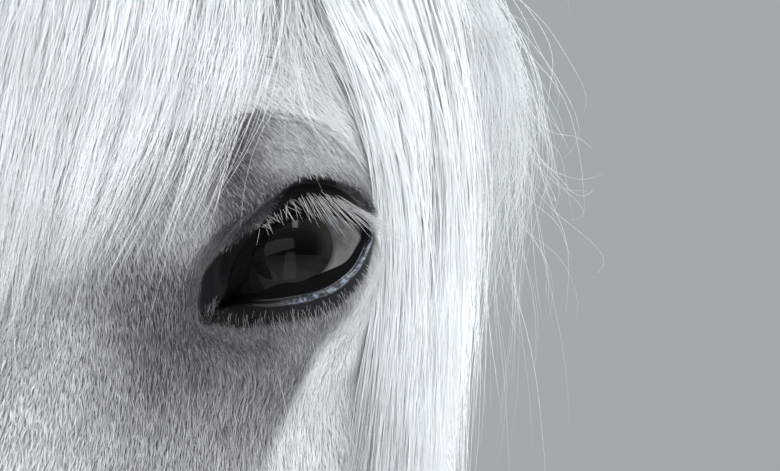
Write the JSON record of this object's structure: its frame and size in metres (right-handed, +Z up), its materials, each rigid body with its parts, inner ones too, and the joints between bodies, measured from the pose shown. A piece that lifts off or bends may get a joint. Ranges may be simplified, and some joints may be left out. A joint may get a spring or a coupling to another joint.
{
  "type": "horse",
  "caption": "Life-size standing grey horse that looks to its right, with a white coat, dark skin round the eyes and muzzle, and a long mane, forelock and tail.",
  "frame": {"origin": "below the middle of the horse, at the level of the soles of its hooves", "axes": "+Z up, -Y the way the body faces, +X its left side; the head is turned 50 degrees to its right"},
  "size_m": [0.7476, 2.171, 1.9011],
  "materials": {
    "coat": "short flat hair",
    "dark_skin": "bare skin under thin hair",
    "eye": "wet gloss",
    "hoof": "dull horn",
    "long_hair": "long straight hair"
  },
  "bodies": {
    "root": {"head": "coat", "muzzle": "dark_skin", "neck": "coat", "trunk": "coat", "eye_left": "eye", "eye_right": "eye", "ear_left": "coat", "ear_right": "coat", "foreleg_left_forearm": "coat", "foreleg_left_cannon": "coat", "foreleg_left_pastern": "coat", "foreleg_left_hoof": "hoof", "foreleg_right_forearm": "coat", "foreleg_right_cannon": "coat", "foreleg_right_pastern": "coat", "foreleg_right_hoof": "hoof", "hindleg_left_gaskin": "coat", "hindleg_left_cannon": "coat", "hindleg_left_pastern": "coat", "hindleg_left_hoof": "hoof", "hindleg_right_gaskin": "coat", "hindleg_right_cannon": "coat", "hindleg_right_pastern": "coat", "hindleg_right_hoof": "hoof", "tail": "long_hair", "forelock": "long_hair", "mane_left": "long_hair", "mane_right": "long_hair"}
  },
  "joints": []
}
